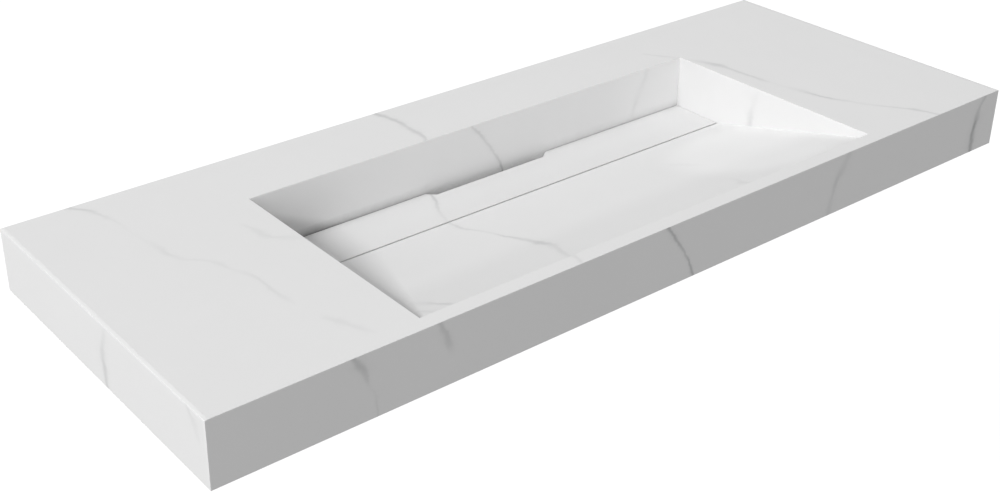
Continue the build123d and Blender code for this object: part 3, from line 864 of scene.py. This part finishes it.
def make_deck(form, stones):
    """The deck. The edges of its bowl opening carry on the stone of the walls under them."""
    cuts = [
        ((0.0, 0.0, UNDER), (0, 0, -1)),
        ((0.0, FRONT, TOP), (0, -1, -1)),
        ((LEFT, 0.0, TOP), (-1, 0, -1)),
        ((RIGHT, 0.0, TOP), (1, 0, -1)),
        ((0.0, 0.0, TOP), (0, 1, -1)),
    ]
    deck = panel(form, cuts, cuts[1:4])
    for x in (-HALF_OPENING, HALF_OPENING):
        split_at(deck, (x, 0.0, 0.0), (1, 0, 0))
    for y in (OPENING_FRONT, OPENING_BACK):
        split_at(deck, (0.0, y, 0.0), (0, 1, 0))
    inside = [face for face in deck.faces if in_opening(face.calc_center_median())]
    bmesh.ops.delete(deck, geom=inside, context="FACES")
    rims = [edge for edge in deck.edges if edge.is_boundary]
    bmesh.ops.bridge_loops(deck, edges=rims)
    mouth = edges_where(deck, lambda co: near(co.z, TOP) and in_opening(co, OPENING_REACH))
    ease(deck, turned_edges(mouth, SQUARE), OPENING_EASE, ROUND_STEPS)
    stone = slab_material("stone_deck", "XY", DECK_VEINS, back=("Z", UNDER, -1.0))
    slab = add_piece("deck_slab", deck, stone, hides=["deck_panel"])
    slab.data.materials.append(stones["basin_back_wall"])
    slab.data.materials.append(stones["basin_right_wall"])
    for face in slab.data.polygons:
        if near(face.center.y, OPENING_BACK) and face.normal.y < -FACING:
            face.material_index = 1
        elif near(face.center.x, HALF_OPENING) and face.normal.x < -FACING:
            face.material_index = 2


def make_aprons(form):
    """The front apron and the two end aprons, with their mitres."""
    cuts = [
        ((0.0, FRONT + SHEET, 0.0), (0, 1, 0)),
        ((0.0, FRONT, TOP), (0, 1, 1)),
        ((LEFT, FRONT, 0.0), (-1, 1, 0)),
        ((RIGHT, FRONT, 0.0), (1, 1, 0)),
    ]
    stone = slab_material("stone_front", "XZ", FRONT_VEINS, back=("Y", FRONT + SHEET, 1.0))
    add_piece("front_slab", panel(form, cuts, cuts[1:]), stone, hides=["front_apron"])
    ends = [("left", LEFT, 1, LEFT_VEINS), ("right", RIGHT, -1, RIGHT_VEINS)]
    for side, end, sign, veins in ends:
        inner = end + sign * SHEET
        cuts = [
            ((inner, 0.0, 0.0), (sign, 0, 0)),
            ((end, 0.0, TOP), (sign, 0, 1)),
            ((end, FRONT, 0.0), (sign, -1, 0)),
            ((end, 0.0, 0.0), (sign, 1, 0)),
        ]
        stone = slab_material("stone_" + side, "YZ", veins, back=("X", inner, float(sign)))
        sheet = panel(form, cuts, cuts[1:3])
        add_piece(side + "_slab", sheet, stone, hides=[side + "_apron"])


# Drain cover
NOTCH_MOUTH = 0.200
NOTCH_FLOOR = 0.176
NOTCH_DEPTH = 0.010
NOTCH_CORNER = 0.001
COVER_EASE = 0.0004
COVER_RUN = 0.005
COVER_BACK_RISE = 0.0005


def make_cover():
    low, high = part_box("drain_cover")
    floor_y = high[1] - NOTCH_DEPTH
    outline = [
        (low[0], low[1]), (high[0], low[1]), (high[0], high[1]),
        (NOTCH_MOUTH / 2, high[1]), (NOTCH_FLOOR / 2, floor_y),
        (-NOTCH_FLOOR / 2, floor_y), (-NOTCH_MOUTH / 2, high[1]), (low[0], high[1]),
    ]
    bm = bmesh.new()
    face = bm.faces.new([bm.verts.new((x, y, low[2])) for x, y in outline])
    raised = bmesh.ops.extrude_face_region(bm, geom=[face])["geom"]
    bmesh.ops.translate(bm, vec=(0.0, 0.0, high[2] - low[2]), verts=new_verts(raised))
    bm.normal_update()
    uprights = [edge for edge in bm.edges if height_of(edge) > COVER_RUN]
    notch = [edge for edge in uprights if abs(edge.verts[0].co.x) < NOTCH_MOUTH]
    corners = [edge for edge in uprights if abs(edge.verts[0].co.x) > NOTCH_MOUTH]
    ease(bm, notch + corners, NOTCH_CORNER, ROUND_STEPS)
    rims = [edges_where(bm, lambda co: near(co.z, level)) for level in (high[2], low[2])]
    for rim in rims:
        whole = [edge for edge in rim if edge.is_valid]
        ease(bm, turned_edges(whole, SQUARE), COVER_EASE, ROUND_STEPS)
    back = ("Z", low[2] + COVER_BACK_RISE, -1.0)
    stone = slab_material(
        "stone_cover", "XY", COVER_VEINS, back=back, tone=COVER_TONE, drifts=COVER_DRIFTS
    )
    add_piece("cover_slab", bm, stone, body="cover", hides=["drain_cover"])


# Waste
WASTE_AXIS = (0.0, -0.152)
TAIL_RADIUS = 0.02095
TAIL_ROOT = 0.0196
TAIL_REACH = 0.00005
THREAD_PITCH = 0.0023
THREAD_TURNS = 15
THREAD_STEPS = 30
THREAD_START = 0.0016
TOOTH_FOOT = 0.0009
TOOTH_CREST = 0.0001
TOOTH_SINK = 0.0004
CUP_EASE = 0.00035


def make_waste(finishes):
    for node_name, piece_name, finish, slot, width in (
        ("waste_grid", "grid_plate", "grid", "grid_steel", 0.0002),
        ("waste_screw", "grid_screw", "grid", "grid_steel", 0.00012),
        ("waste_upper_seal", "upper_seal", "rubber", "seal_rubber", 0.00035),
        ("waste_lower_seal", "lower_seal", "rubber", "seal_rubber", 0.00035),
    ):
        copy = eased_copy(node_name, width)
        add_piece(piece_name, copy, finishes[finish], hides=[node_name], flat=(2,))

    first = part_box("waste_body")[0][2] + THREAD_START
    body = node_copy("waste_body")
    centre = Vector((*WASTE_AXIS, 0.0))
    tail = [
        vert for vert in body.verts
        if near((vert.co - centre).xy.length, TAIL_RADIUS, TAIL_REACH)
    ]
    shrink = TAIL_ROOT / TAIL_RADIUS
    bmesh.ops.scale(
        body, vec=(shrink, shrink, 1.0), space=Matrix.Translation(-centre), verts=tail
    )
    ease(body, turned_edges(body.edges, SHARP), CUP_EASE, EASE_STEPS)
    chrome = finishes["chrome"]
    add_piece("waste_cup", body, chrome, hides=["waste_body"], flat=(2,))

    thread = bmesh.new()
    foot = TAIL_ROOT - TOOTH_SINK
    profile = [
        (-TOOTH_FOOT, foot), (-TOOTH_CREST, TAIL_RADIUS),
        (TOOTH_CREST, TAIL_RADIUS), (TOOTH_FOOT, foot),
    ]
    corners = [
        thread.verts.new((centre.x + radius, centre.y, first + rise)) for rise, radius in profile
    ]
    bmesh.ops.spin(
        thread, geom=[thread.faces.new(corners)], cent=centre, axis=(0.0, 0.0, 1.0),
        dvec=(0.0, 0.0, THREAD_PITCH / THREAD_STEPS), angle=2.0 * math.pi * THREAD_TURNS,
        steps=THREAD_TURNS * THREAD_STEPS, use_merge=False, use_duplicate=False,
    )
    add_piece("tail_thread", thread, chrome, flat=())


# Fixings
SCREW_SHARE_X = 0.76
SCREW_SHARE_Z = 0.66
HEAD_RADIUS = 0.0045
HEAD_HEIGHT = 0.0028
HEAD_SIDES = 6
WASHER_RADIUS = 0.0058
WASHER_HEIGHT = 0.0008
WASHER_SIDES = 28
PLATE_LENGTH = 0.064
PLATE_HEIGHT = 0.044
FIXING_EASE = 0.0004
SCREW_EASE = 0.00025
FIXING_PLACES = (-0.420, -0.140, 0.140, 0.420)


def add_disc(bm, sides, radius, height, matrix):
    bmesh.ops.create_cone(
        bm, cap_ends=True, segments=sides, radius1=radius, radius2=radius, depth=height,
        matrix=matrix,
    )


def make_fixings(finishes):
    plates = eased_copy("fixing_plates", FIXING_EASE)
    add_piece("bolt_plates", plates, finishes["plate"], hides=["fixing_plates"])
    bushes = eased_copy("fixing_bushes", FIXING_EASE)
    add_piece(
        "bolt_bushes", bushes, finishes["nylon"], hides=["fixing_bushes"], flat=(1,)
    )
    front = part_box("fixing_plates")[0][1]
    away = Matrix.Rotation(math.radians(90.0), 4, "X")
    screws = bmesh.new()
    for middle in FIXING_PLACES:
        for side in (-1, 1):
            for rise in (-1, 1):
                x = middle + side * SCREW_SHARE_X * PLATE_LENGTH / 2.0
                z = rise * SCREW_SHARE_Z * PLATE_HEIGHT / 2.0
                turn = Matrix.Rotation(random.uniform(0.0, 1.0), 4, "Y")
                washer = Matrix.Translation((x, front - WASHER_HEIGHT / 2.0, z)) @ away
                add_disc(screws, WASHER_SIDES, WASHER_RADIUS, WASHER_HEIGHT, washer)
                head_y = front - WASHER_HEIGHT - HEAD_HEIGHT / 2.0
                head = Matrix.Translation((x, head_y, z)) @ turn @ away
                add_disc(screws, HEAD_SIDES, HEAD_RADIUS, HEAD_HEIGHT, head)
    ease(screws, turned_edges(screws.edges, SHARP), SCREW_EASE, EASE_STEPS)
    add_piece("plate_screws", screws, finishes["zinc"], flat=(1,))


# Adhesive
BEAD_STEP = 0.018
BEAD_TUCK = 0.0002
BEAD_HOLLOW = 0.36
BEAD_SWELL = (0.72, 1.25)
BEAD_SHARP = math.radians(50.0)
RIB_BEAD = 0.0035
WALL_BEAD = 0.004
APRON_BEAD = 0.003


def bead(bm, start, end, out, size):
    """A hand-run bead of adhesive under the deck, between two places in plan, in the corner with
    what it stands beside. It is uneven along its length."""
    start = Vector((*start, UNDER))
    end = Vector((*end, UNDER))
    out = Vector((*out, 0.0))
    down = Vector((0.0, 0.0, -1.0))
    count = max(3, round((end - start).length / BEAD_STEP))
    step = (end - start) / count
    corners = [
        start - (out + down) * BEAD_TUCK,
        start + out * size,
        start + (out + down) * size * BEAD_HOLLOW,
        start + down * size,
    ]
    face = bm.faces.new([bm.verts.new(corner) for corner in corners])
    grown = 1.0
    for index in range(count):
        wanted = random.uniform(*BEAD_SWELL)
        raised = bmesh.ops.extrude_face_region(bm, geom=[face])["geom"]
        moved = new_verts(raised)
        face = [item for item in raised if isinstance(item, bmesh.types.BMFace)][0]
        bmesh.ops.translate(bm, vec=step, verts=moved)
        corner = start + step * (index + 1)
        change = wanted / grown
        bmesh.ops.scale(
            bm, vec=(change, change, change), space=Matrix.Translation(-corner), verts=moved
        )
        grown = wanted


def make_adhesive(finishes):
    """Beads of adhesive where the strips, walls and rail meet the underside of the deck."""
    bm = bmesh.new()
    for name in ("left_deck_rib", "right_deck_rib", "left_rear_rib", "right_rear_rib"):
        low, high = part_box(name)
        for x, sign in ((low[0], -1), (high[0], 1)):
            bead(bm, (x, low[1]), (x, high[1]), (sign, 0), RIB_BEAD)
    for name, sign in (("basin_left_wall", -1), ("basin_right_wall", 1)):
        low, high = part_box(name)
        x = low[0] if sign < 0 else high[0]
        bead(bm, (x, low[1]), (x, OPENING_BACK + SHEET), (sign, 0), WALL_BEAD)
    low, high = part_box("basin_back_wall")
    bead(bm, (low[0], high[1]), (high[0], high[1]), (0, 1), WALL_BEAD)
    low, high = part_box("rear_rail")
    bead(bm, (low[0], low[1]), (high[0], low[1]), (0, -1), WALL_BEAD)
    inner = FRONT + SHEET
    for sign in (-1, 1):
        x = sign * (RIGHT - SHEET)
        bead(bm, (x, inner), (x, low[1]), (-sign, 0), APRON_BEAD)
        bead(bm, (sign * (HALF_OPENING + SHEET), inner), (x, inner), (0, 1), APRON_BEAD)
    silicone = finishes["adhesive"]
    add_piece("adhesive_beads", bm, silicone, flat=(), sharp=BEAD_SHARP)


# Panels that stay as packed, and eased copies of the small pieces
# Painted light: the gutter's stone is paler to lift the dark well seen through the notch
GUTTER_TONE = 1.1
THIN_EASE = 0.0004
BLOCK_EASE = 0.0006
STRIP_EASE = 0.0007


def make_stones():
    """Stone of the panels that stay as packed, with the painted light and shade in their tones."""
    wall_back = HALF_OPENING + SHEET
    return {
        "basin_back_wall": slab_material(
            "stone_back_wall", "XZ", BACK_WALL_VEINS, back=("Y", OPENING_BACK + SHEET, 1.0),
            tone=BACK_WALL_TONE, drifts=BACK_WALL_DRIFTS, foot=FOOT_SHADE,
        ),
        "basin_right_wall": slab_material(
            "stone_right_wall", "YZ", RIGHT_WALL_VEINS, back=("X", wall_back, 1.0),
            tone=RIGHT_WALL_TONE, drifts=RIGHT_WALL_DRIFTS,
        ),
        "basin_left_wall": slab_material(
            "stone_left_wall", "YZ", [], wisps=0.35, back=("X", -wall_back, -1.0)
        ),
        "basin_ramp": slab_material(
            "stone_ramp", "XY", RAMP_VEINS, tone=RAMP_TONE, drifts=RAMP_DRIFTS, patch=True
        ),
        "rear_apron": slab_material("stone_rear", "XZ", REAR_VEINS, back=("Y", -SHEET, -1.0)),
    }


def dress_nodes(finishes, stones):
    """Finishes for what stays as packed, and eased copies of the small pieces."""
    for name, material in stones.items():
        nodes[name].data.materials.clear()
        nodes[name].data.materials.append(material)
    # The gutter's paler stone is painted light
    gutter = slab_material("stone_gutter", "XY", [], wisps=0.5, tone=GUTTER_TONE)
    offcut = finishes["offcut"]
    copies = [
        ("trough_front_wall", "gutter_front", gutter, "slab", THIN_EASE),
        ("trough_floor", "gutter_floor", gutter, "slab", BLOCK_EASE),
        ("{}_cover_ledge", "{}_ledge", gutter, "slab", BLOCK_EASE),
        ("cover_blocks", "rest_blocks", gutter, "slab", BLOCK_EASE),
        ("rest_pads", "soft_pads", finishes["silicone"], "silicone", THIN_EASE),
        ("{}_deck_rib", "{}_end_strip", offcut, "slab", STRIP_EASE),
        ("{}_rear_rib", "{}_back_strip", offcut, "slab", STRIP_EASE),
        ("{}_ramp_rib", "{}_ramp_strip", offcut, "slab", STRIP_EASE),
        ("{}_corner_block", "{}_glue_block", offcut, "slab", STRIP_EASE),
        ("rear_rail", "plywood_rail", finishes["plywood"], "plywood", BLOCK_EASE),
    ]
    for node_words, piece_words, material, slot, width in copies:
        sides = ("left", "right") if "{}" in node_words else ("",)
        for side in sides:
            node_name = node_words.format(side)
            copy = eased_copy(node_name, width)
            add_piece(piece_words.format(side), copy, material, hides=[node_name])


def make_finishes():
    finishes = {
        "offcut": sawn_material(),
        "grid": steel_material("brushed_grid", STEEL, 0.30, around=WASTE_AXIS),
        "plate": steel_material("drawn_plate", STEEL, 0.42),
        "zinc": steel_material("zinc_screws", ZINC, 0.36),
        "chrome": steel_material("chromed_brass", CHROME, 0.16, around=WASTE_AXIS),
    }
    # Two tones, gloss, scale of the mottling, strength and scale of the skin
    for label, name, colour, shade, gloss, mottle, bump, bump_scale in (
        ("rubber", "seal_rubber_black", RUBBER, RUBBER_PALE, 0.62, 120.0, 0.2, 900.0),
        ("nylon", "bush_nylon", NYLON, NYLON_SHADE, 0.48, 90.0, 0.12, 700.0),
        ("silicone", "pad_silicone", SILICONE, SILICONE_SHADE, 0.36, 120.0, 0.1, 600.0),
        ("adhesive", "joint_adhesive", ADHESIVE, ADHESIVE_SHADE, 0.40, 60.0, 0.5, 160.0),
    ):
        finishes[label] = plain_material(name, colour, shade, gloss, mottle, bump, bump_scale)
    finishes["plywood"] = plywood_material()
    return finishes


def add_camera():
    data = bpy.data.cameras.new("camera")
    data.sensor_width = SENSOR_WIDTH
    data.lens = FOCAL_PIXELS * SENSOR_WIDTH / IMAGE_WIDTH
    data.shift_x = SHIFT_X
    data.shift_y = SHIFT_Y
    camera = bpy.data.objects.new("camera", data)
    bpy.context.scene.collection.objects.link(camera)
    camera.location = CAMERA_PLACE
    camera.rotation_euler = (math.radians(90 - CAMERA_DIP), 0, math.radians(-CAMERA_HEADING))
    camera.rotation_euler.rotate_axis("Z", math.radians(CAMERA_ROLL))
    bpy.context.scene.camera = camera


def add_area_light(name, place, size, power):
    """A soft square lamp at a place, turned to the basin."""
    data = bpy.data.lights.new(name, "AREA")
    data.shape = "SQUARE"
    data.size = size
    data.energy = power
    lamp = bpy.data.objects.new(name, data)
    bpy.context.scene.collection.objects.link(lamp)
    lamp.location = place
    lamp.rotation_euler = (Vector(LAMP_AIM) - Vector(place)).to_track_quat("-Z", "Y").to_euler()


def seen_directly(tree):
    """One where the camera, a reflection or a clear thing looks on, and nothing elsewhere."""
    path = tree.nodes.new("ShaderNodeLightPath")
    seen = path.outputs["Is Camera Ray"]
    for name in ("Is Glossy Ray", "Is Transmission Ray"):
        seen = reckon(tree, "MAXIMUM", seen, path.outputs[name])
    return seen


def set_world():
    """An even pale sky, seen as plain white by the camera and in reflections."""
    world = bpy.data.worlds.new("studio")
    bpy.context.scene.world = world
    world.use_nodes = True
    tree = world.node_tree
    tree.nodes.clear()
    sky = new_outputs(tree, "ShaderNodeBackground", {"Color": WHITE, "Strength": SKY_LEVEL})[0]
    plain = new_outputs(tree, "ShaderNodeBackground", {"Color": WHITE, "Strength": 1.0})[0]
    values = {0: seen_directly(tree), 1: sky, 2: plain}
    both = new_outputs(tree, "ShaderNodeMixShader", values)[0]
    new_outputs(tree, "ShaderNodeOutputWorld", {"Surface": both})


def floor_material():
    """Grey floor that keeps a faint shadow and reads as white to the camera and in reflections.
    It is clear from below."""
    material = bpy.data.materials.new("studio_floor")
    material.use_nodes = True
    tree = material.node_tree
    tree.nodes.clear()
    grey = new_outputs(tree, "ShaderNodeBsdfDiffuse", {"Color": FLOOR_GREY})[0]
    lifted = product(tree, seen_directly(tree), FLOOR_LIFT)
    lift = new_outputs(tree, "ShaderNodeEmission", {"Color": WHITE, "Strength": lifted})[0]
    pale = new_outputs(tree, "ShaderNodeAddShader", {0: grey, 1: lift})[0]
    clear = tree.nodes.new("ShaderNodeBsdfTransparent").outputs[0]
    below = tree.nodes.new("ShaderNodeNewGeometry").outputs["Backfacing"]
    whole = new_outputs(tree, "ShaderNodeMixShader", {0: below, 1: pale, 2: clear})[0]
    new_outputs(tree, "ShaderNodeOutputMaterial", {"Surface": whole})
    return material


def add_floor():
    bpy.ops.mesh.primitive_plane_add(size=FLOOR_SIZE, location=(0, 0, FLOOR_HEIGHT))
    floor = bpy.context.object
    floor.name = "floor"
    floor.data.materials.append(floor_material())


random.seed(SEED)
all_finishes = make_finishes()
panel_stones = make_stones()
shell = shell_form()
make_deck(shell, panel_stones)
make_aprons(shell)
shell.free()
make_cover()
dress_nodes(all_finishes, panel_stones)
make_waste(all_finishes)
make_fixings(all_finishes)
make_adhesive(all_finishes)

add_camera()
set_world()
add_floor()
add_area_light("key", KEY_PLACE, KEY_SIZE, KEY_POWER)
add_area_light("fill", FILL_PLACE, FILL_SIZE, FILL_POWER)
bpy.context.scene.view_settings.view_transform = "Standard"
